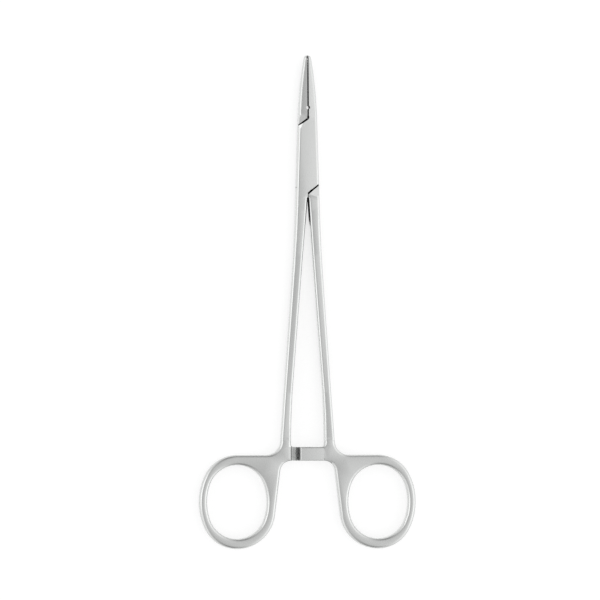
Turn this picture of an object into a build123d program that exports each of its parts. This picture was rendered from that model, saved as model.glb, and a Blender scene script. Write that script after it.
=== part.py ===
from build123d import *
import os
from math import cos, radians, sin, tan

# Needle holder with a box lock, lying flat and closed. It is drawn about its pin: X to the right,
# Y towards the jaw tips, Z up through the pin, with Z = 0 on the middle plane of the lock.
# The last step moves it so that it lies on Z = 0 with the middle of its box over the origin.

# Outline of jaws and lock: half widths, and how far from the pin they hold
jaw_reach = 31.5
jaw_root = 12.5
jaw_root_half = 2.87
tip_half = 0.98
tip_corner = 0.95
lock_base_half = 3.67

# Finger ring: the oval hole, the wall round it, and the leg that joins the ratchet arm
ring_x = 22.2
ring_y = 108.0
hole_half_width = 9.43
hole_half_height = 11.55
hole_bulge = 0.43
ring_side_wall = 2.4
ring_end_wall = 3.08
ring_bulge = 0.83
ring_leg_radius = 12.0
ring_leg_lean = 6.9
flare_round = 4.5
ring_half_width = hole_half_width + ring_side_wall
ring_half_height = hole_half_height + ring_end_wall
ring_reach = ring_y + ring_half_height
ring_top = ring_y - ring_half_height

# Ratchet arms: the upper edge lies this far above the top of the rings
arm_rise = 2.47
arm_height = 4.25
arm_end = 2.35
arm_end_round = 0.4
arm_root_round = 1.3
arm_edge_round = 0.3
arm_clearance = 0.05
ratchet_teeth = 4
ratchet_pitch = 1.4
ratchet_depth = 0.6
arm_top = ring_top - arm_rise
arm_bottom = arm_top + arm_height

# Box lock: pin, tongue in its slot, and the slanting shoulders
pin_radius = 1.25
pin_head_radius = 1.65
pin_head_depth = 0.4
pin_clearance = 0.04
tongue_thick = 1.5
tongue_radius = 10.2
slot_clearance = 0.06
slot_end_clearance = 0.35
jaw_shoulder = 11.75
jaw_shoulder_slope = 34.5
shank_shoulder = 11.7
shank_shoulder_slope = 39.0
shoulder_gap = 0.34
shoulder_relief = 0.3
shoulder_relief_length = 2.0
corner_drop = 0.5
jaw_corner_length = 4.4
cheek_corner_length = 2.6
shank_corner_length = 3.4

# Seam between the jaws: cross teeth, relief hole and the wider gap behind it
jaw_gap = 0.2
jaw_tooth_pitch = 0.8
jaw_tooth_depth = 0.2
relief_radius = 0.62
relief_gap = 0.42
relief_rise = 3.45
teeth_rise = 1.1
seam_bevel = 0.14
seam_bevel_depth = 0.4
relief_hole = jaw_shoulder + relief_rise
jaw_teeth_start = relief_hole + teeth_rise

# Outline of one shank, from the crotch under the lock to the ratchet arm
crotch_drop = 1.3
crotch_gap = 0.1
crotch_round = 0.3
base_drop = 1.0
neck_length = 24.0
neck_outer = 4.88
bow_length = 20.6
shank_wall = 5.26
crotch = shank_shoulder + crotch_drop
lock_base = crotch + base_drop
neck = lock_base + neck_length

# Thickness along the tool
lock_thick = 4.6
tip_thick = 2.2
shank_thick = 3.4
ring_thick = 4.0
lock_flat_drop = 3.0
lock_blend = 14.0
ring_blend = 14.0
ring_flat_rise = 5.4
ring_plate_drop = 0.9
profile_round = 30.0
edge_round = 0.85
rim_flats = 2
lock_flat_end = lock_base + lock_flat_drop
ring_flat_start = ring_top - ring_flat_rise
ring_plate_start = ring_flat_start + ring_plate_drop

# Cutting tools reach this far past what they cut
past = 5.0
past_side = ring_x + ring_half_width + past
mid_height = lock_thick / 2
pin_y = (ring_reach - jaw_reach) / 2


def side_joint(half_width, half_height, bulge):
    """Point, right and above an oval's centre, where its end arc meets its flatter side arc."""
    end_radius = half_width - bulge
    end_centre = Vector(0, half_height - end_radius)
    side_radius = half_width - bulge / 2 + end_centre.Y**2 / (2 * bulge)
    side_centre = Vector(half_width - side_radius, 0)
    joint = side_centre + (end_centre - side_centre).normalized() * side_radius
    return joint.X, joint.Y


def oval(grow):
    """The hole of the ring, its four tangent arcs moved outwards by a distance."""
    half_width = hole_half_width + grow
    half_height = hole_half_height + grow
    x, y = side_joint(half_width, half_height, hole_bulge)
    sides = [
        ThreePointArc((-x, y), (0, half_height), (x, y)),
        ThreePointArc((x, y), (half_width, 0), (x, -y)),
        ThreePointArc((x, -y), (0, -half_height), (-x, -y)),
        ThreePointArc((-x, -y), (-half_width, 0), (-x, y)),
    ]
    return Pos(ring_x, -ring_y) * make_face(Curve() + sides)


def rounded(face, corner, radius):
    """The face with the corner nearest to a point rounded in the plane."""
    vertex = face.vertices().sort_by_distance(Vector(*corner))[0]
    return fillet(vertex, radius)


def lock_half_at(y):
    """Half width of the lock, whose sides are straight from the jaw root to its base."""
    share = (jaw_root - y) / (jaw_root + lock_base)
    return jaw_root_half + (lock_base_half - jaw_root_half) * share


def leg_foot():
    """Where the leg of the ring leaves its bottom arc, and where it meets the arm's lower edge."""
    lean = radians(ring_leg_lean)
    centre_y = ring_leg_radius - ring_reach
    start = (ring_x - ring_leg_radius * cos(lean), centre_y - ring_leg_radius * sin(lean))
    end = (start[0] - (-arm_bottom - start[1]) * tan(lean), -arm_bottom)
    return start, end


def shank_corner():
    """Where the outer edge of the shank, run on straight, meets the top line of the ring."""
    side = (lock_base_half - jaw_root_half) / (lock_base + jaw_root)
    chord = (neck_outer - lock_base_half) / (neck - lock_base)
    slope = 2 * chord - side
    return neck_outer + slope * (ring_top - neck), -ring_top


def ring_edges():
    """Outer edge of the finger ring from the top line round to the foot of its leg."""
    x, y = side_joint(ring_half_width, ring_half_height, ring_bulge)
    leg_start = leg_foot()[0]
    top = (ring_x, -ring_top)
    bottom = (ring_x, -ring_reach)
    upper = (ring_x + x, y - ring_y)
    lower = (ring_x + x, -y - ring_y)
    return [
        Line(shank_corner(), top),
        TangentArc(top, upper, tangent=(1, 0)),
        ThreePointArc(upper, (ring_x + ring_half_width, -ring_y), lower),
        TangentArc(bottom, lower, tangent=(1, 0)),
        TangentArc(bottom, leg_start, tangent=(-1, 0)),
    ]


def head_edges():
    """Left edge, tip and right edge of the closed jaws and the lock."""
    tip_y = jaw_reach
    side = (jaw_root_half - lock_base_half, jaw_root + lock_base)
    return [
        Line((-lock_half_at(-crotch), -crotch), (-jaw_root_half, jaw_root)),
        TangentArc((-jaw_root_half, jaw_root), (-tip_half, tip_y), tangent=(-side[0], side[1])),
        Line((-tip_half, tip_y), (tip_half, tip_y)),
        TangentArc((jaw_root_half, jaw_root), (tip_half, tip_y), tangent=side),
        Line((jaw_root_half, jaw_root), (lock_base_half, -lock_base)),
    ]


def shank_edges():
    """Outer edge of the right shank, and its inner edge from the crotch to the ratchet arm."""
    side = (lock_base_half - jaw_root_half, -jaw_root - lock_base)
    mouth = Vector(crotch_gap, -crotch)
    bend = Vector(shank_wall, bow_length / 2 - arm_top)
    run = (bend - mouth).normalized()
    bow_start = bend - run * (bow_length / 2)
    return [
        TangentArc((lock_base_half, -lock_base), (neck_outer, -neck), tangent=side),
        Line((neck_outer, -neck), shank_corner()),
        Line((-lock_half_at(-crotch), -crotch), (crotch_gap, -crotch)),
        Line(mouth, bow_start),
        TangentArc(bow_start, (shank_wall, -arm_top), tangent=run),
    ]


def leg_edges():
    """Leg of the ring, and the arc that turns it into the lower edge of the ratchet arm."""
    leg_start, leg_end = leg_foot()
    run = leg_end[0] - shank_wall
    lean = radians(ring_leg_lean)
    foot = (leg_end[0] + run * sin(lean), leg_end[1] - run * cos(lean))
    return [
        Line(leg_start, foot),
        TangentArc((shank_wall, -arm_bottom), foot, tangent=(1, 0)),
    ]


def half_outline(arm_reach):
    """Plan of head, right shank and right ring, with the ratchet arm or, at None, without it."""
    wall = (shank_wall, -arm_top)
    foot = (shank_wall, -arm_bottom)
    turns = [wall, foot]
    if arm_reach is not None:
        turns = [wall, (-arm_reach, -arm_top), (-arm_reach, -arm_bottom), foot]
    edges = head_edges() + shank_edges() + ring_edges() + leg_edges()
    edges += [Line(a, b) for a, b in zip(turns, turns[1:])]
    face = make_face(Curve() + edges)
    for side in (-1, 1):
        face = rounded(face, (side * tip_half, jaw_reach), tip_corner)
    face = rounded(face, (crotch_gap, -crotch), crotch_round)
    face = rounded(face, shank_corner(), flare_round)
    if arm_reach is not None:
        face = rounded(face, wall, arm_root_round)
        for corner in turns[1:3]:
            face = rounded(face, corner, edge_round + arm_end_round)
    return face


def side_profile():
    """The tool's thickness seen from the side, run across its whole width."""
    jaw_slope = (lock_thick - tip_thick) / 2 / (jaw_reach - jaw_root)
    steps = [
        (jaw_reach + past, tip_thick / 2 - past * jaw_slope),
        (jaw_root, lock_thick / 2),
        (-lock_flat_end, lock_thick / 2),
        (-lock_flat_end - lock_blend, shank_thick / 2),
        (ring_blend - ring_flat_start, shank_thick / 2),
        (-ring_flat_start, ring_thick / 2),
        (-ring_reach - past, ring_thick / 2),
    ]
    top = FilletPolyline(*steps, radius=profile_round)
    bottom = mirror(top, Plane.XZ)
    ends = [Line(top @ 0, bottom @ 0), Line(top @ 1, bottom @ 1)]
    face = make_face(Curve() + [top, bottom] + ends)
    return extrude(Plane.YZ * face, past_side, both=True)


def band(low, high):
    """Plan strip across the tool between two distances from the pin."""
    return Pos(0, (low + high) / 2) * Rectangle(2 * past_side, high - low)


def face_rim(solid):
    """Edges round the front and back faces of the head and shank, less the cut end."""
    flats = [f for f in solid.faces() if abs(f.normal_at(f.center()).Z) > 0.7]
    edges = [edge for face in flats for edge in face.edges()]
    rim = [e for e in edges if sum(e.is_same(other) for other in edges) == 1]
    return [e for e in rim if abs(e.center().Y + ring_plate_start) > 0.001]


def head_and_shank():
    """Closed head and the right shank, cut to the side profile, with rounded edges."""
    plan = half_outline(None) & band(-ring_plate_start, jaw_reach + past)
    body = extrude(plan, lock_thick, both=True) & side_profile()
    return fillet(face_rim(body), edge_round)


def round_steps():
    """Inset and depth of the lines of a rim that is rounded in a few narrow flats."""
    turns = [radians(90 * step / rim_flats) for step in range(rim_flats + 1)]
    return [(edge_round * (1 - cos(turn)), edge_round * (1 - sin(turn))) for turn in turns]


def ring_plate(arm_reach, side):
    """Front (side 1) or back half of the ring with its web, rounded along its rim."""
    plan = half_outline(arm_reach) & band(-ring_reach - past, edge_round * 2 - ring_plate_start)
    height = ring_thick / 2
    sections = [plan]
    for inset, depth in round_steps():
        outline = offset(plan, -inset, kind=Kind.TANGENT) if inset > 0 else plan
        sections.append(Pos(0, 0, side * (height - depth)) * outline)
    plate = loft(sections, ruled=True)
    return plate & extrude(band(-ring_reach - past, -ring_plate_start), height, both=True)


def finger_hole():
    """Cutter for the oval hole, flared at both faces as the outer rim is rounded."""
    half = ring_thick / 2
    upper = [Pos(0, 0, half - depth) * oval(inset) for inset, depth in round_steps()]
    lower = [Pos(0, 0, depth - half) * oval(inset) for inset, depth in round_steps()]
    return loft(lower[::-1] + upper, ruled=True)


def ratchet_cut():
    """Saw teeth across the mating face of the arm, and a round recess from them to the shank."""
    deep = arm_clearance + ratchet_depth
    points = [(-arm_end - past, -past), (-arm_end - past, deep)]
    for tooth in range(ratchet_teeth):
        start = tooth * ratchet_pitch - arm_end
        points += [(start, deep), (start + ratchet_pitch, arm_clearance)]
    teeth_end = points[-1][0]
    recess = (shank_wall - teeth_end) / 2
    edges = [
        Polyline(*points, (teeth_end, 0)),
        ThreePointArc((teeth_end, 0), (teeth_end + recess, recess), (shank_wall, 0)),
        Polyline((shank_wall, 0), (shank_wall, -past), points[0]),
    ]
    face = make_face(Curve() + edges)
    reach = arm_height / 2 + arm_root_round
    return Pos(0, -(arm_top + arm_bottom) / 2, 0) * extrude(Plane.XZ * face, reach, both=True)


def arm_bar():
    """Straight part of the ratchet arm, with the finer edges that it has beside the shank's."""
    length = arm_end + shank_wall
    bar = extrude(Rectangle(length, arm_height), ring_thick / 2)
    bar = fillet(bar.edges().filter_by(Axis.Z).group_by(Axis.X)[0], arm_end_round)
    bar = chamfer(bar.faces().sort_by(Axis.Z)[-1].edges(), arm_edge_round)
    return Pos((shank_wall - arm_end) / 2, -(arm_top + arm_bottom) / 2, 0) * bar


def forging():
    """Solid head with the right shank, ring and front ratchet arm, before the lock is cut."""
    ring = ring_plate(arm_end - arm_end_round, 1) + ring_plate(None, -1) - finger_hole()
    return head_and_shank() + ring + arm_bar() - ratchet_cut()


def both_faces(cutter):
    """A cutter for the front face of the tool, and its like for the back face."""
    return cutter + mirror(cutter, Plane.XY)


def prism(section, start, end):
    """A section, given as points across and down, run straight from one point to another."""
    path = Vector(*end) - Vector(*start)
    across = Vector(path.Y, -path.X).normalized()
    plane = Plane(start, x_dir=across, z_dir=path)
    face = plane * make_face(Polyline(*section, close=True))
    return extrude(face, path.length, dir=path.normalized())


def seam_groove(start, end, gap):
    """Steep bevels on both sides of a straight seam in the front face."""
    rise = 1.0
    half = gap / 2 + seam_bevel
    wide = half + rise * seam_bevel / seam_bevel_depth
    bottom = seam_bevel_depth * half / seam_bevel
    return prism([(-wide, -rise), (wide, -rise), (0, bottom)], start, end)


def seam_grooves():
    """Bevels along the jaw seam and both shoulders, on both faces of the tool."""
    face = lock_thick / 2
    slope = (face - tip_thick / 2) / (jaw_reach - jaw_root)
    reach = lock_base_half + past
    tip = (0, jaw_reach + past, tip_thick / 2 - past * slope)
    root = (0, jaw_root, face)
    upper = (0, jaw_shoulder, face)
    lower = (0, -shank_shoulder, face)
    upper_end = (-reach, jaw_shoulder - reach * tan(radians(jaw_shoulder_slope)), face)
    lower_end = (reach, reach * tan(radians(shank_shoulder_slope)) - shank_shoulder, face)
    grooves = seam_groove(root, tip, jaw_gap) + seam_groove(upper, root, relief_gap)
    grooves += seam_groove(upper_end, upper, shoulder_gap)
    grooves += seam_groove(lower, lower_end, shoulder_gap)
    return both_faces(grooves)


def facet(start, end, corner):
    """Wedge that takes a corner of both faces down, from a hinge line between two points."""
    face = lock_thick / 2
    hinge = Vector(*end) - Vector(*start)
    across = Vector(hinge.Y, -hinge.X).normalized()
    width = (Vector(*corner) - Vector(*start)).dot(across)
    section = [(0, 0), (2 * width, 2 * corner_drop), (2 * width, -1), (0, -1)]
    return both_faces(prism(section, (*start, face), (*end, face)))


def shoulder_corner(height, slope):
    """Where a shoulder that falls from the middle comes out at the left side of the lock."""
    half = lock_half_at(height)
    return -half, height - half * tan(radians(slope))


def jaw_facet():
    """Slanting facet at the foot of the left jaw."""
    x, y = shoulder_corner(jaw_shoulder, jaw_shoulder_slope)
    return facet((0, jaw_shoulder), (x, y + jaw_corner_length), (x, y))


def cheek_facet():
    """Slanting facet on the upper left corner of the cheek."""
    x, y = shoulder_corner(jaw_shoulder, jaw_shoulder_slope)
    return facet((x / 2, (jaw_shoulder + y) / 2), (x, y - cheek_corner_length), (x, y))


def shank_facet():
    """Slanting facet at the top of the right shank."""
    x, y = shoulder_corner(shank_shoulder, shank_shoulder_slope)
    return Rot(0, 0, 180) * facet((0, shank_shoulder), (x, y + shank_corner_length), (x, y))


def seam_points(side, gap):
    """Edge of a jaw at the seam, from beyond the tip to the shoulder. Side is -1 left, 1 right."""
    crest = side * jaw_gap / 2
    valley = crest + side * jaw_tooth_depth
    points = [(crest, jaw_reach + past), (crest, jaw_teeth_start)]
    count = int((jaw_reach - jaw_teeth_start) / jaw_tooth_pitch)
    for tooth in range(count):
        y = jaw_teeth_start + tooth * jaw_tooth_pitch
        points[1:1] = [(crest, y + jaw_tooth_pitch), (valley, y + jaw_tooth_pitch / 2)]
    return points + [(crest, relief_hole), (side * gap / 2, relief_hole)]


def shoulder_line(height, slope, side, reach):
    """Points on a slanting shoulder, at the middle of the tool and beyond its edge."""
    lean = radians(slope)
    level = height - side * shoulder_gap / 2 / cos(lean)
    return (level, level - reach * tan(lean))


def jaw_zone(side):
    """Plan left of the jaw seam and above the shoulder. Side -1 keeps the gaps out of it, 1 in."""
    reach = lock_base_half + past
    level, outer = shoulder_line(jaw_shoulder, jaw_shoulder_slope, side, reach)
    edge = seam_points(side, relief_gap)
    inner = side * relief_gap / 2
    corner = (inner, level + inner * tan(radians(jaw_shoulder_slope)))
    points = edge + [corner, (-reach, outer), (-reach, jaw_reach + past)]
    hole = Pos(0, relief_hole) * Circle(relief_radius)
    zone = make_face(Polyline(*points, close=True))
    return zone + hole if side > 0 else zone - hole


def shank_zone(side):
    """Plan right of the crotch and below the lower shoulder, with the gaps out (-1) or in (1)."""
    reach = lock_base_half + past
    level, outer = shoulder_line(shank_shoulder, shank_shoulder_slope, side, reach)
    inner = -side * crotch_gap
    low = -lock_base - past
    points = [(inner, -level), (reach, -outer), (reach, low), (inner, low)]
    return make_face(Polyline(*points, close=True))


def handle_zone():
    """Plan of everything on the handle side of the lock."""
    length = ring_reach + past
    return Pos(0, -lock_base - past - length / 2) * Rectangle(2 * past_side, length)


def column(face):
    """A plan face run through the whole thickness of the tool."""
    return extrude(face, lock_thick, both=True)


def tongue_plan(radius, gap):
    """Plan of the tongue: a disc about the pin that runs on into the left jaw and right shank."""
    reach = lock_base_half + past
    wing = Pos(-reach / 2, reach) * Rectangle(reach, 2 * reach)
    upper = Pos(gap / 2, 0) * wing
    return Circle(radius) + upper + Rot(0, 0, 180) * upper


def shoulder_room():
    """Round clearing in the cheek's edge beside the inner part of the lower shoulder."""
    half = shoulder_relief_length / 2
    radius = (half**2 + shoulder_relief**2) / (2 * shoulder_relief)
    lean = radians(shank_shoulder_slope)
    level = shoulder_line(shank_shoulder, shank_shoulder_slope, 1, 0)[0]
    middle = (crotch_gap + half * cos(lean), half * sin(lean) - level)
    drop = radius - shoulder_relief
    centre = (middle[0] + drop * sin(lean), middle[1] - drop * cos(lean))
    right = Pos(crotch_gap + past, 0) * Rectangle(2 * past, 4 * lock_base)
    return (Pos(*centre) * Circle(radius)) & right


def tongue_half():
    """Left jaw, tongue, right shank and right ring, with the bore for the pin."""
    blank = forging()
    jaw = (blank & column(jaw_zone(-1))) - jaw_facet()
    shank = (blank & column(shank_zone(-1) + handle_zone())) - shank_facet()
    slab = extrude(tongue_plan(tongue_radius, -jaw_gap), tongue_thick / 2, both=True)
    window = column(Rectangle(past_side, 2 * (shank_shoulder + shoulder_gap)))
    body = (jaw + shank - seam_grooves()) + (blank & slab & window)
    return body - Cylinder(pin_radius + pin_clearance, lock_thick)


def box_half():
    """Right jaw, both cheeks of the lock, left shank and left ring, slotted for the tongue."""
    blank = Rot(0, 180, 0) * forging()
    body = blank - column(jaw_zone(1)) - column(shank_zone(1) + shoulder_room())
    body = body - cheek_facet() - seam_grooves()
    slot_thick = tongue_thick / 2 + slot_clearance
    plan = tongue_plan(tongue_radius + slot_end_clearance, jaw_gap)
    body = body - extrude(plan & Rectangle(past_side, 2 * lock_base), slot_thick, both=True)
    return body - pin()


def pin():
    """Straight pin whose two ends fill their countersinks flush with the cheeks."""
    half = lock_thick / 2
    profile = [
        (0, -half),
        (pin_head_radius, -half),
        (pin_radius, pin_head_depth - half),
        (pin_radius, half - pin_head_depth),
        (pin_head_radius, half),
        (0, half),
    ]
    return revolve(Plane.XZ * make_face(Polyline(*profile, close=True)), Axis.Z)


def placed(shape):
    """The shape moved from the pin's axes to the frame that the tool lies in."""
    return Pos(0, pin_y, mid_height) * shape


nodes = {"box_half": box_half(), "tongue_half": tongue_half(), "lock_pin": pin()}
os.makedirs("parts", exist_ok=True)
for name, shape in nodes.items():
    export_step(placed(shape), f"parts/{name}.step")
print("pin axis at y =", round(pin_y, 3), "z =", round(mid_height, 3))
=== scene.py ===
# %% [markdown]
# Needle holder in satin stainless steel
# The instrument is two forgings and a pin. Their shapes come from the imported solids, so this file
# gives them their finish, a plain white table, soft light and the photographer's view from above.

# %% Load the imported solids
import math
import bmesh
import bpy
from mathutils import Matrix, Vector


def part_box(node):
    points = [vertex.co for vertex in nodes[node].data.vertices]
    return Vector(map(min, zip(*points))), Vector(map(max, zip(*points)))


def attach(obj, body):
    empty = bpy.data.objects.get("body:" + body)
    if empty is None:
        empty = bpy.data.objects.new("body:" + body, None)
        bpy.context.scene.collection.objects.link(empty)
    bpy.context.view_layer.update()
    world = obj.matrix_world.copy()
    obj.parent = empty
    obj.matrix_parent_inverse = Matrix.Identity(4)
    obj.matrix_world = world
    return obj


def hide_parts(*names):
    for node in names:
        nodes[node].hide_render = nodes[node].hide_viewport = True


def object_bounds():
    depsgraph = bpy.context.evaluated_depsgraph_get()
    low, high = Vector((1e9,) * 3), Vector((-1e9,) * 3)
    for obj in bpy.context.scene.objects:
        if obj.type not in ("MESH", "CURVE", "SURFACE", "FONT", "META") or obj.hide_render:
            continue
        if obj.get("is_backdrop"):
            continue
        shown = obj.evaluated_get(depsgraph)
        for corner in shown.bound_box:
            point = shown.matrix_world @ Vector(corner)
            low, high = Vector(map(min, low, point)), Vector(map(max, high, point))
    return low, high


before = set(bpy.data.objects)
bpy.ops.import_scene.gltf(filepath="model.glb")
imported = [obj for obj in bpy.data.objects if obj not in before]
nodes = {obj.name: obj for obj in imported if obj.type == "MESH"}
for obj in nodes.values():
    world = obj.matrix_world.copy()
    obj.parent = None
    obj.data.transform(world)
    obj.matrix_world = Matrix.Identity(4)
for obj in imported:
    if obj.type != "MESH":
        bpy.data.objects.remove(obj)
solid_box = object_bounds()
MM = 0.001
low, high = solid_box
print("solids reach", [round((b - a) / MM, 2) for a, b in zip(low, high)], "mm")

# %% [markdown]
# Colours are written as they look on screen, while a shader works in linear light. One function
# turns a hex value into linear numbers, so that every colour below can be read and changed by eye.

# %% Colour
def linear(hex_value):
    """Linear colour of an sRGB hex value such as C8C8C6."""
    channels = [int(hex_value[i:i + 2], 16) / 255 for i in (0, 2, 4)]
    return [c / 12.92 if c <= 0.04045 else ((c + 0.055) / 1.055) ** 2.4 for c in channels] + [1.0]


print("half grey on screen is", round(linear("808080")[0], 3), "in linear light")

# %% [markdown]
# A finish is a tree of nodes. One small function adds a node, sets it and links it, so that each
# tree below reads as a list. A socket goes by its name. Where a node has several sockets of the same
# name it goes by its number, as the two values of a sum do, or the two ends of a mix.

# %% Nodes
MIX_SHARE = 0
NUMBER_FROM, NUMBER_TO = 2, 3
COLOUR_FROM, COLOUR_TO = 6, 7
MIXED_COLOUR = 2


def add(tree, kind, settings=None, links=None):
    """Add a node, set its properties and sockets, and link the given outputs to its sockets."""
    node = tree.nodes.new(kind)
    for name, value in (settings or {}).items():
        if isinstance(name, int) or name in node.inputs:
            node.inputs[name].default_value = value
        else:
            setattr(node, name, value)
    for name, output in (links or {}).items():
        tree.links.new(output, node.inputs[name])
    return node


print("a mix of colours goes from socket", COLOUR_FROM, "to socket", COLOUR_TO)

# %% [markdown]
# Satin stainless steel is a hardened chromium steel. The forging is ground on a belt and brushed
# along its length, which gives the eye a soft shine with fine lines along the tool. The lines could
# be an image, but a noise that is stretched along Y needs no image and has no seam. It moves the
# roughness a little and gives a very low bump, and a broad second noise keeps the large faces from
# being too even. Real lines are about a fifth as wide: these are as coarse as it takes to show.

# %% Brushed lines
STEEL_ROUGHNESS = 0.24
GRAIN_WIDTH = 0.25 * MM
GRAIN_LENGTH = 9.0 * MM
GRAIN_DETAIL = 3.0
GRAIN_SPREAD = 0.05
GRAIN_DEPTH = 0.004 * MM
GRAIN_STRENGTH = 0.35
CLOUD_SIZE = 14.0 * MM
CLOUD_DETAIL = 2.0
CLOUD_SPREAD = 0.02
NOISE_LOW, NOISE_HIGH = 0.3, 0.7


def brushed_lines(tree, shader, place):
    """Lines along the tool, in the roughness and in a low bump."""
    stretch = (1 / GRAIN_WIDTH, 1 / GRAIN_LENGTH, 1 / GRAIN_WIDTH)
    along = add(tree, "ShaderNodeMapping", {"Scale": stretch}, {"Vector": place}).outputs["Vector"]
    lines = {"Scale": 1.0, "Detail": GRAIN_DETAIL}
    grain = add(tree, "ShaderNodeTexNoise", lines, {"Vector": along}).outputs["Fac"]
    patches = {"Scale": 1 / CLOUD_SIZE, "Detail": CLOUD_DETAIL}
    cloud = add(tree, "ShaderNodeTexNoise", patches, {"Vector": place}).outputs["Fac"]
    parts = []
    for noise, middle, spread in ((grain, STEEL_ROUGHNESS, GRAIN_SPREAD), (cloud, 0.0, CLOUD_SPREAD)):
        span = {"From Min": NOISE_LOW, "From Max": NOISE_HIGH}
        span.update({"To Min": middle - spread, "To Max": middle + spread})
        parts.append(add(tree, "ShaderNodeMapRange", span, {"Value": noise}).outputs["Result"])
    total = add(tree, "ShaderNodeMath", {"operation": "ADD"}, dict(enumerate(parts)))
    tree.links.new(total.outputs["Value"], shader.inputs["Roughness"])
    bump = {"Strength": GRAIN_STRENGTH, "Distance": GRAIN_DEPTH}
    relief = add(tree, "ShaderNodeBump", bump, {"Height": grain})
    tree.links.new(relief.outputs["Normal"], shader.inputs["Normal"])


print("brushed lines are", round(GRAIN_LENGTH / GRAIN_WIDTH), "times as long as wide")

# %% [markdown]
# A narrow gap between steel walls looks black, because its light is lost between them. Here it would
# stay bright, as a metal's shine turns white at a grazing angle. Darker paint along the gaps would
# need a map, so an Ambient Occlusion node measures how open each place is, and where it is shut in
# the colour and the tint of that shine go dark, as painted shade. The handle is open, so its painted
# shade is weaker, and where it is shut in the metal turns partly matt, which lightens its recesses
# as painted light.

# %% Painted shade in the gaps
STEEL_COLOUR = "D9DAD9"
SHADE_COLOUR = "0C0C0C"
SHADE_SAMPLES = 8
SHADE_REACH = 1.6 * MM
SHADE_LOW, SHADE_HIGH = 0.62, 0.9
HANDLE_TOP = -20.0 * MM
HANDLE_FULL = HANDLE_TOP - 20.0 * MM
HANDLE_SHADE = 0.68
MATT_LOW, MATT_HIGH = 0.2, 0.85
MATT_METAL = 0.4


def along_tool(tree, place, on_handle, on_head):
    """Number that changes evenly from its value on the handle to its value on the head."""
    height = add(tree, "ShaderNodeSeparateXYZ", links={"Vector": place}).outputs["Y"]
    fade = {"From Min": HANDLE_FULL, "From Max": HANDLE_TOP, "To Min": on_handle, "To Max": on_head}
    return add(tree, "ShaderNodeMapRange", fade, {"Value": height}).outputs["Result"]


def painted_gap_shade(tree, shader, place):
    """Painted shade on the colour and shine, and share of bare metal, by how open each place is."""
    near = {"samples": SHADE_SAMPLES, "Distance": SHADE_REACH}
    openness = add(tree, "ShaderNodeAmbientOcclusion", near).outputs["AO"]
    tone = {"From Min": SHADE_LOW, "From Max": SHADE_HIGH}
    shown = add(tree, "ShaderNodeMapRange", tone, {"Value": openness}).outputs["Result"]
    spared = along_tool(tree, place, HANDLE_SHADE, 0.0)
    lifted = add(tree, "ShaderNodeMath", {"operation": "MAXIMUM"}, {0: shown, 1: spared})
    # painted shade: the steel's colour and the tint of its shine go dark where it is shut in
    pairs = (("Base Color", SHADE_COLOUR, STEEL_COLOUR), ("Specular Tint", "000000", "FFFFFF"))
    for socket, dark, bright in pairs:
        ends = {"data_type": "RGBA", COLOUR_FROM: linear(dark), COLOUR_TO: linear(bright)}
        mixed = add(tree, "ShaderNodeMix", ends, {MIX_SHARE: lifted.outputs[0]})
        tree.links.new(mixed.outputs[MIXED_COLOUR], shader.inputs[socket])
    # painted light: in the handle's shut-in corners the metal turns partly matt, which lightens them
    matt_span = {"From Min": MATT_LOW, "From Max": MATT_HIGH, "To Max": 1.0}
    least = along_tool(tree, place, MATT_METAL, 1.0)
    bare = add(tree, "ShaderNodeMapRange", matt_span, {"Value": openness, "To Min": least})
    tree.links.new(bare.outputs["Result"], shader.inputs["Metallic"])


print("gaps are felt from", round(SHADE_REACH / MM, 1), "mm away")

# %% [markdown]
# The forgings and the pin are of the same steel and finish, because the pin is ground off flush with
# the cheek. The pin keeps a material of its own, as it is another piece. The pattern follows the
# Object coordinates, so it stays on a half when the halves swing apart.

# %% Satin stainless steel
def satin_steel(name):
    """Brushed steel whose lines run along the tool and whose gaps have painted shade."""
    material = bpy.data.materials.new(name)
    material.use_nodes = True
    tree = material.node_tree
    shader = tree.nodes["Principled BSDF"]
    place = add(tree, "ShaderNodeTexCoord").outputs["Object"]
    brushed_lines(tree, shader, place)
    painted_gap_shade(tree, shader, place)
    print(name, "has", len(tree.nodes), "nodes")
    return material


steel = satin_steel("satin_stainless_steel")
pin_steel = satin_steel("ground_pin_steel")

# %% [markdown]
# Each forging and the pin are shown by a copy with the shape of its solid and hand-ground shading.
# The belt leaves the broad faces very slightly crowned. Bulging them by hundredths of a millimetre
# would take a very fine mesh, so the points stay where they are and only the normals of the corners
# lean. A solid comes as loose triangles, so its copy is merged first. How far a face's normal leans
# from the upright tells a broad face from a rim or a wall.

# %% Merge a solid
MERGE = 0.0005 * MM
FLAT_LEAN = 4.8


def lean_of(normal):
    """Degrees between a normal and the upright, up or down."""
    return math.degrees(math.acos(min(1.0, abs(normal.z))))


def merged(name):
    """Faces of a node with shared corners, and the numbers of those that are broad and flat."""
    form = bmesh.new()
    form.from_mesh(nodes[name].data)
    bmesh.ops.remove_doubles(form, verts=form.verts[:], dist=MERGE)
    form.normal_update()
    form.faces.index_update()
    flats = {face.index for face in form.faces if lean_of(face.normal) < FLAT_LEAN}
    return form, flats


print("a face that leans under", FLAT_LEAN, "degrees counts as broad")

# %% [markdown]
# No jaw or cheek is held quite level against the belt, so each ground face leans a little sideways
# and takes its own grey from the light. One lean for each face would show a step where two faces
# meet in one plane, so the lean grows evenly along the tool, and across the cheek as well.

# %% Lean of the ground faces
RIGHT_JAW_LEAN, LEFT_JAW_LEAN = 0.1, -0.055
CHEEK_LEAN = 0.08
CHEEK_TURN = 0.018 / MM
JAW_FROM, JAW_TO = high[1] - 23.0 * MM, high[1] - 20.0 * MM
CHEEK_FROM, CHEEK_TO = high[1] - 58.0 * MM, high[1] - 44.0 * MM


def share(value, start, end):
    """How far a value has come from start to end, between 0 and 1."""
    return min(1.0, max(0.0, (value - start) / (end - start)))


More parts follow.
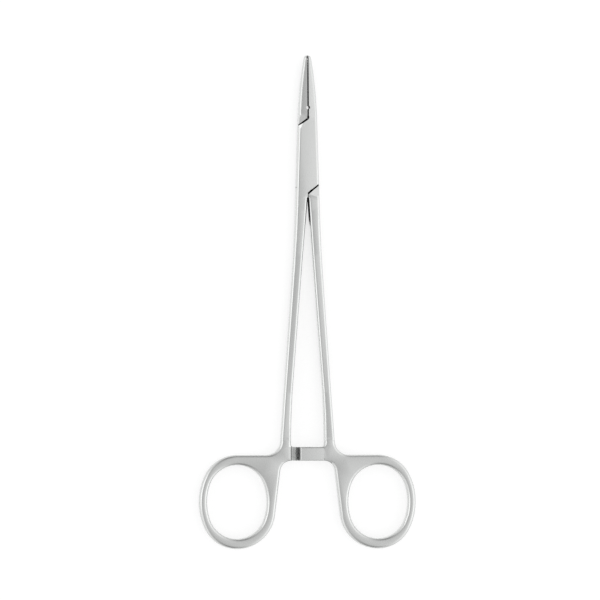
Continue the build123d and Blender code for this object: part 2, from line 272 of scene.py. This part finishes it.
def belt_lean(place, leans):
    """Sideways lean at a place: none on the shank, then the cheek's, and the jaw's at the end."""
    jaw, cheek, turn = leans
    cheek = (cheek + turn * place.x) * share(place.y, CHEEK_FROM, CHEEK_TO)
    return cheek + (jaw - cheek) * share(place.y, JAW_FROM, JAW_TO)


print("the cheek starts to lean", round((high[1] - CHEEK_FROM) / MM), "mm below the tips")

# %% [markdown]
# The shoulders of the lock and the jaws have small slanting facets, ground one by one. Each catches
# the light as one plane. The mesh doesn't know its facets, so they are found here: tilted triangles
# of the head that face along the tool, grouped by their plane, and large enough together.

# %% Ground facets
FACET_LEAST, FACET_MOST = 5.0, 30.0
FACET_ALONG = 0.3
FACET_AREA = 0.8 * MM * MM
FACET_OUT = (-0.22, 0.12)
PLANE_STEP = 0.02 * MM
NORMAL_DIGITS = 3


def facet_faces(form):
    """Numbers of the faces in the small ground facets of the head."""
    groups = {}
    for face in form.faces:
        lean = lean_of(face.normal)
        tilted = FACET_LEAST < lean < FACET_MOST and face.calc_center_median().y > CHEEK_FROM
        if tilted and abs(face.normal.y) > FACET_ALONG * math.sin(math.radians(lean)):
            plane = round(face.normal.dot(face.verts[0].co) / PLANE_STEP)
            key = tuple(round(part, NORMAL_DIGITS) for part in face.normal) + (plane,)
            groups.setdefault(key, []).append(face)
    found = set()
    for faces in groups.values():
        if sum(face.calc_area() for face in faces) > FACET_AREA:
            found.update(face.index for face in faces)
    return found


def facet_normals(face):
    """Normals of a facet's corners, all alike, turned out to the side that the facet is on."""
    on_right = face.calc_center_median().x > 0
    outward = Vector((FACET_OUT[on_right], 0, 0))
    return [(face.normal + outward).normalized()] * len(face.verts)


print("a facet leans", FACET_LEAST, "to", FACET_MOST, "degrees")

# %% [markdown]
# A crowned face falls away a little towards its rim, which draws a soft line along the edge. The
# normal is kept true inside the face and leans outwards where the corner also belongs to a rim. The
# pin's countersink isn't a rim: it is ground flush, so the faces round the pin are left out.

# %% Crowned broad faces
CROWN = 5.0
RIM_LEAN = 50.0
PIN_ROOM = 2.2 * MM
PIN_PLACE = (Vector(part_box("lock_pin")[0]) + Vector(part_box("lock_pin")[1])) / 2
NO_LENGTH = 1e-6


def crown_normal(vertex, face, flats, facets, leans):
    """Normal of a broad face at one of its corners, leaned outwards if the corner is on the rim."""
    upright = face.normal.copy()
    upright.x += belt_lean(vertex.co, leans)
    if (vertex.co - PIN_PLACE).xy.length < PIN_ROOM:
        return upright.normalized()
    out = Vector((0, 0, 0))
    for other in vertex.link_faces:
        rim = other.index not in flats and other.index not in facets
        if rim and lean_of(other.normal) < RIM_LEAN and other.normal.z * face.normal.z > 0:
            out += Vector((other.normal.x, other.normal.y, 0))
    if out.length > NO_LENGTH:
        upright += out.normalized() * math.tan(math.radians(CROWN))
    return upright.normalized()


print("the pin is at", [round(part / MM, 2) for part in PIN_PLACE], "mm")

# %% [markdown]
# The rings are filed round for the fingers. Their solids have a few flat strips from the broad face
# to the wall, which is enough for the outline and shows as stripes in the light. More strips would
# make the solids heavy, so the normals turn evenly instead: from nearly upright beside the flat to
# nearly level beside the wall. Only faces on the same side of the metal count for a corner, because
# the inner and the outer rim come close together where the ring meets its foot. Beside the ratchet
# arm the foot stays blunt, so there the rim keeps its first small lean.

# %% Rounded ring rims
ARM_REACH = 5.2 * MM
RING_TOP = -43.2 * MM
SAME_SIDE = 0.6
WALL_LEAN = 85.0
RIM_FIRST, RIM_LAST = 8.0, 86.0
BLUNT_REACH = 7.5 * MM
BLUNT_FOOT, BLUNT_TOP = -50.8 * MM, -45.0 * MM


def level(normal):
    """Direction of a normal as seen from above."""
    return Vector((normal.x, normal.y, 0)).normalized()


def in_ring(face):
    """Whether a face belongs to the ring or its foot."""
    middle = face.calc_center_median()
    return middle.y < RING_TOP and abs(middle.x) > ARM_REACH


def rim_lean(vertex, flats, turns):
    """Degrees that the rounded rim leans at a corner: least at the flat, most at the wall."""
    blunt = abs(vertex.co.x) < BLUNT_REACH and BLUNT_FOOT < vertex.co.y < BLUNT_TOP
    if blunt or any(face.index in flats for face in vertex.link_faces):
        return RIM_FIRST
    return RIM_LAST if max(turns) > WALL_LEAN else sum(turns) / len(turns)


def round_normal(vertex, face, flats, facets):
    """Normal of the ring's rounded rim or wall at one of the face's corners."""
    out = Vector((0, 0, 0))
    turns = []
    for other in vertex.link_faces:
        ground = other.index in flats or other.index in facets
        if not ground and level(other.normal).dot(level(face.normal)) >= SAME_SIDE:
            out += level(other.normal)
            turns.append(lean_of(other.normal))
    if lean_of(face.normal) > WALL_LEAN:
        return out.normalized()
    lean = math.radians(rim_lean(vertex, flats, turns))
    upright = Vector((0, 0, math.copysign(math.cos(lean), face.normal.z)))
    return out.normalized() * math.sin(lean) + upright


print("the rings start", round((high[1] - RING_TOP) / MM, 1), "mm below the tips")

# %% [markdown]
# An edge is either smooth or crisp. It is crisp where a broad face or a facet begins, and where the
# surface turns sharply. The ratchet's teeth are cut and not rounded, so between the arms a much
# smaller turn is crisp.

# %% Crisp and smooth edges
SMOOTH_TURN, TOOTH_TURN = 50.0, 20.0
RATCHET_TOP = -40.0 * MM


def mark_edges(form, flats, facets):
    """Mark each edge of a form as smooth or crisp."""
    for edge in form.edges:
        middle = (edge.verts[0].co + edge.verts[1].co) / 2
        toothed = abs(middle.x) < ARM_REACH and middle.y < RATCHET_TOP
        turn = math.radians(TOOTH_TURN if toothed else SMOOTH_TURN)
        even = len(edge.link_faces) == 2 and edge.calc_face_angle() < turn
        kinds = {(face.index in flats, face.index in facets) for face in edge.link_faces}
        edge.smooth = even and len(kinds) == 1


print("an edge is crisp from a turn of", SMOOTH_TURN, "degrees, on the ratchet", TOOTH_TURN)

# %% [markdown]
# Now each copy is made from these parts. Faces that have no rule of their own keep the normals that
# the edges give them. The copy rides on the body of its node and replaces it, so it swings with it.

# %% Ground copies of the forgings and the pin
def ground_normals(form, flats, facets, leans):
    """Normals of the corners of the crowned, facet and ring faces, by the face's number."""
    ground = {}
    for face in form.faces:
        if face.index in flats:
            around = (face, flats, facets, leans)
            ground[face.index] = [crown_normal(vertex, *around) for vertex in face.verts]
        elif face.index in facets:
            ground[face.index] = facet_normals(face)
        elif in_ring(face):
            ground[face.index] = [round_normal(vertex, face, flats, facets) for vertex in face.verts]
    return ground


def ground_copy(name, body, material, leans):
    """Merged copy of a node with ground shading, which stands for it."""
    form, flats = merged(name)
    facets = facet_faces(form)
    mark_edges(form, flats, facets)
    ground = ground_normals(form, flats, facets, leans)
    for face in form.faces:
        face.smooth = True
        face.material_index = 0
    mesh = bpy.data.meshes.new(name + "_ground")
    form.to_mesh(mesh)
    form.free()
    normals = [corner.vector.copy() for corner in mesh.corner_normals]
    for polygon in mesh.polygons:
        for place, normal in zip(polygon.loop_indices, ground.get(polygon.index, [])):
            normals[place] = normal
    mesh.normals_split_custom_set(normals)
    mesh.materials.append(material)
    piece = bpy.data.objects.new(name + "_ground", mesh)
    bpy.context.scene.collection.objects.link(piece)
    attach(piece, body)
    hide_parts(name)
    print(name, len(mesh.polygons), "faces,", len(flats), "broad,", len(facets), "in facets")
    return piece


ground_copy("box_half", "box", steel, (RIGHT_JAW_LEAN, CHEEK_LEAN, CHEEK_TURN))
ground_copy("tongue_half", "tongue", steel, (LEFT_JAW_LEAN, 0.0, 0.0))
ground_copy("lock_pin", "box", pin_steel, (0.0, CHEEK_LEAN, CHEEK_TURN))

# %% [markdown]
# Under the closed jaws hardly any light reaches the table, so the seam between the teeth is dark. A
# table that glows for the camera would shine up through it. An Ambient Occlusion node finds where
# the table is shut in, and there the glow fades, which paints the shadow. It does so only in a narrow
# strip under the seam, because beside the tool the table's own shadow is enough.

# %% Painted shadow under the seam
TABLE_SEEN = 1.25
SEAM_SAMPLES = 16
SEAM_DEEP = 3.0 * MM
SEAM_DARK, SEAM_OPEN = 0.35, 0.8
SEAM_SEEN = 0.01
SEAM_FOOT = high[1] - 15.5 * MM
SEAM_REACH = 0.6 * MM


def glow_with_painted_shadow(tree):
    """Glow of the table for the camera: full everywhere but faded to a painted shadow in the strip
    under the seam.
    """
    near = {"samples": SEAM_SAMPLES, "Distance": SEAM_DEEP}
    openness = add(tree, "ShaderNodeAmbientOcclusion", near).outputs["AO"]
    fade = {"From Min": SEAM_DARK, "From Max": SEAM_OPEN, "To Min": SEAM_SEEN, "To Max": TABLE_SEEN}
    faded = add(tree, "ShaderNodeMapRange", fade, {"Value": openness}).outputs["Result"]
    place = add(tree, "ShaderNodeTexCoord").outputs["Object"]
    across, along, _ = add(tree, "ShaderNodeSeparateXYZ", links={"Vector": place}).outputs
    close = {"operation": "COMPARE", 1: 0.0, 2: SEAM_REACH}
    beside = add(tree, "ShaderNodeMath", close, {0: across}).outputs[0]
    above = add(tree, "ShaderNodeMath", {"operation": "GREATER_THAN", 1: SEAM_FOOT}, {0: along})
    strip = add(tree, "ShaderNodeMath", {"operation": "MULTIPLY"}, {0: beside, 1: above.outputs[0]})
    full = {"data_type": "FLOAT", NUMBER_FROM: TABLE_SEEN}
    links = {MIX_SHARE: strip.outputs[0], NUMBER_TO: faded}
    return add(tree, "ShaderNodeMix", full, links).outputs[0]


print("the dark strip is", round((high[1] - SEAM_FOOT) / MM, 1), "mm long")

# %% [markdown]
# The tool lies on a white card that is lit from all sides, as in a product picture. A sheet that is
# only lit comes out light grey, so for the camera part of the card's light is a glow, which brings
# the open table to pure white, and the other part is its own matt light, which keeps the shadow of
# the tool. Reflections in the steel see the card plainly white, which lights the lower bevels.

# %% White table
CARD_COLOUR = "F4F4F4"
TABLE_GLOW = 0.6
TABLE_MIRRORED = 1.0
TABLE_SIZE = 1.6
TABLE_GAP = 0.02 * MM


def white_card():
    """Matt white that glows in reflections, and in part for the camera."""
    material = bpy.data.materials.new("white_card")
    material.use_nodes = True
    tree = material.node_tree
    tree.nodes.remove(tree.nodes["Principled BSDF"])
    matt = add(tree, "ShaderNodeBsdfDiffuse", {"Color": linear(CARD_COLOUR)})
    path = add(tree, "ShaderNodeLightPath").outputs
    by_ray = {"data_type": "FLOAT", NUMBER_FROM: TABLE_MIRRORED}
    links = {MIX_SHARE: path["Is Camera Ray"], NUMBER_TO: glow_with_painted_shadow(tree)}
    strength = add(tree, "ShaderNodeMix", by_ray, links).outputs[0]
    glow = add(tree, "ShaderNodeEmission", {"Color": linear("FFFFFF")}, {"Strength": strength})
    partly = {"operation": "MULTIPLY", 1: TABLE_GLOW}
    part = add(tree, "ShaderNodeMath", partly, {0: path["Is Camera Ray"]}).outputs[0]
    links = {0: part, 1: path["Is Glossy Ray"]}
    seen = add(tree, "ShaderNodeMath", {"operation": "MAXIMUM"}, links).outputs[0]
    mix = add(tree, "ShaderNodeMixShader", links={0: seen, 1: matt.outputs[0], 2: glow.outputs[0]})
    tree.links.new(mix.outputs[0], tree.nodes["Material Output"].inputs["Surface"])
    return material


def flat_sheet(name, size, height):
    """Square sheet about the origin at one height."""
    half = size / 2
    corners = [(x, y, height) for x, y in ((-half, -half), (half, -half), (half, half), (-half, half))]
    mesh = bpy.data.meshes.new(name)
    mesh.from_pydata(corners, [], [(0, 1, 2, 3)])
    sheet = bpy.data.objects.new(name, mesh)
    bpy.context.scene.collection.objects.link(sheet)
    return sheet


table = flat_sheet("table", TABLE_SIZE, low[2] - TABLE_GAP)
table.data.materials.append(white_card())
table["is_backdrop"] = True
print("the table is", TABLE_SIZE, "m wide")

# %% [markdown]
# Metal shows what is round it, so steel is photographed in a light tent. Its walls at the left and
# right are bright, which draws the bevels white. A dim band runs between them along the tool, which
# leaves the flats grey, and it gets dimmer towards both ends, which darkens the ends of the rings.
# The tent is the world itself, because it is all round and needs no walls in the scene.

# %% Light tent
WALL_LEVEL = 1.15
BAND_LEVEL = 0.55
BAND_LEAN = 12.0
BAND_REACH = 0.85
END_LEVEL = 0.6 * BAND_LEVEL
END_FROM, END_TO = 0.25, 0.9


def light_tent():
    """World with a dim band along the tool, leaning to the left, and bright walls at both sides."""
    world = bpy.data.worlds.new("light_tent")
    world.use_nodes = True
    tree = world.node_tree
    place = add(tree, "ShaderNodeTexCoord").outputs["Generated"]
    lean = math.radians(BAND_LEAN)
    across = {"operation": "DOT_PRODUCT", 1: (math.cos(lean), 0, math.sin(lean))}
    off = add(tree, "ShaderNodeVectorMath", across, {0: place}).outputs["Value"]
    away = add(tree, "ShaderNodeMath", {"operation": "ABSOLUTE"}, {0: off}).outputs[0]
    height = add(tree, "ShaderNodeSeparateXYZ", links={"Vector": place}).outputs["Y"]
    along = add(tree, "ShaderNodeMath", {"operation": "ABSOLUTE"}, {0: height}).outputs[0]
    fall = {"From Min": END_FROM, "From Max": END_TO, "To Min": BAND_LEVEL, "To Max": END_LEVEL}
    band = add(tree, "ShaderNodeMapRange", fall, {"Value": along}).outputs["Result"]
    rise = {"interpolation_type": "SMOOTHSTEP", "From Max": BAND_REACH, "To Max": WALL_LEVEL}
    bright = add(tree, "ShaderNodeMapRange", rise, {"Value": away, "To Min": band}).outputs["Result"]
    tree.links.new(bright, tree.nodes["Background"].inputs["Strength"])
    tree.nodes["Background"].inputs["Color"].default_value = linear("FFFFFF")
    return world


bpy.context.scene.world = light_tent()
print("the tent goes from", round(END_LEVEL, 2), "at the ends of the band to", WALL_LEVEL)

# %% [markdown]
# Two soft boxes, a stronger one at the left and a weaker one at the right, give the even light of
# the tent a direction. They are large and near, so they throw no hard shadow.

# %% Soft boxes
def soft_box(name, place, size, power):
    """Square lamp that looks at the middle of the tool."""
    light = bpy.data.lights.new(name, "AREA")
    light.shape = "SQUARE"
    light.size = size
    light.energy = power
    lamp = bpy.data.objects.new(name, light)
    lamp.location = place
    lamp.rotation_euler = (-Vector(place)).to_track_quat("-Z", "Y").to_euler()
    bpy.context.scene.collection.objects.link(lamp)
    print(name, "gives", power, "W from", round(Vector(place).length, 2), "m")


soft_box("left_box", place=(-0.75, 0.1, 0.55), size=0.6, power=0.5)
soft_box("right_box", place=(0.75, -0.1, 0.5), size=0.5, power=0.25)

# %% [markdown]
# The photograph looks straight down on the tool from a long way off, a few degrees from its left
# side. A long lens at two metres gives the same flat view. Its length follows from the width that
# the picture takes in.

# %% Camera
VIEW_TIP = 7.0
CAMERA_REACH = 2.0
FRAME_WIDTH = 187.5 * MM
PHOTO_MIDDLE = (-2.3 * MM, 0.63 * MM)
SENSOR = 36.0
FAR_END = 10.0


def photo_camera():
    """Long lens from above, tipped a little towards the left of the tool."""
    tip = math.radians(VIEW_TIP)
    aim = Vector((PHOTO_MIDDLE[0], PHOTO_MIDDLE[1], (low[2] + high[2]) / 2))
    data = bpy.data.cameras.new("photo_camera")
    data.sensor_width = SENSOR
    data.lens = SENSOR * CAMERA_REACH / FRAME_WIDTH
    data.clip_end = FAR_END
    camera = bpy.data.objects.new("photo_camera", data)
    camera.location = aim + Vector((-math.sin(tip), 0, math.cos(tip))) * CAMERA_REACH
    camera.rotation_euler = (0, -tip, 0)
    bpy.context.scene.collection.objects.link(camera)
    return camera


bpy.context.scene.camera = photo_camera()
bpy.context.scene.view_settings.view_transform = "Standard"
print("the lens is", round(bpy.context.scene.camera.data.lens), "mm long")

# %% [markdown]
# The finish must not change the size of the tool, so the box of the solids and the box of what is
# shown are put side by side.

# %% Both boxes side by side
sizes = {"cad": solid_box, "visual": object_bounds()}
sizes = {name: [[float(c) for c in corner] for corner in box] for name, box in sizes.items()}
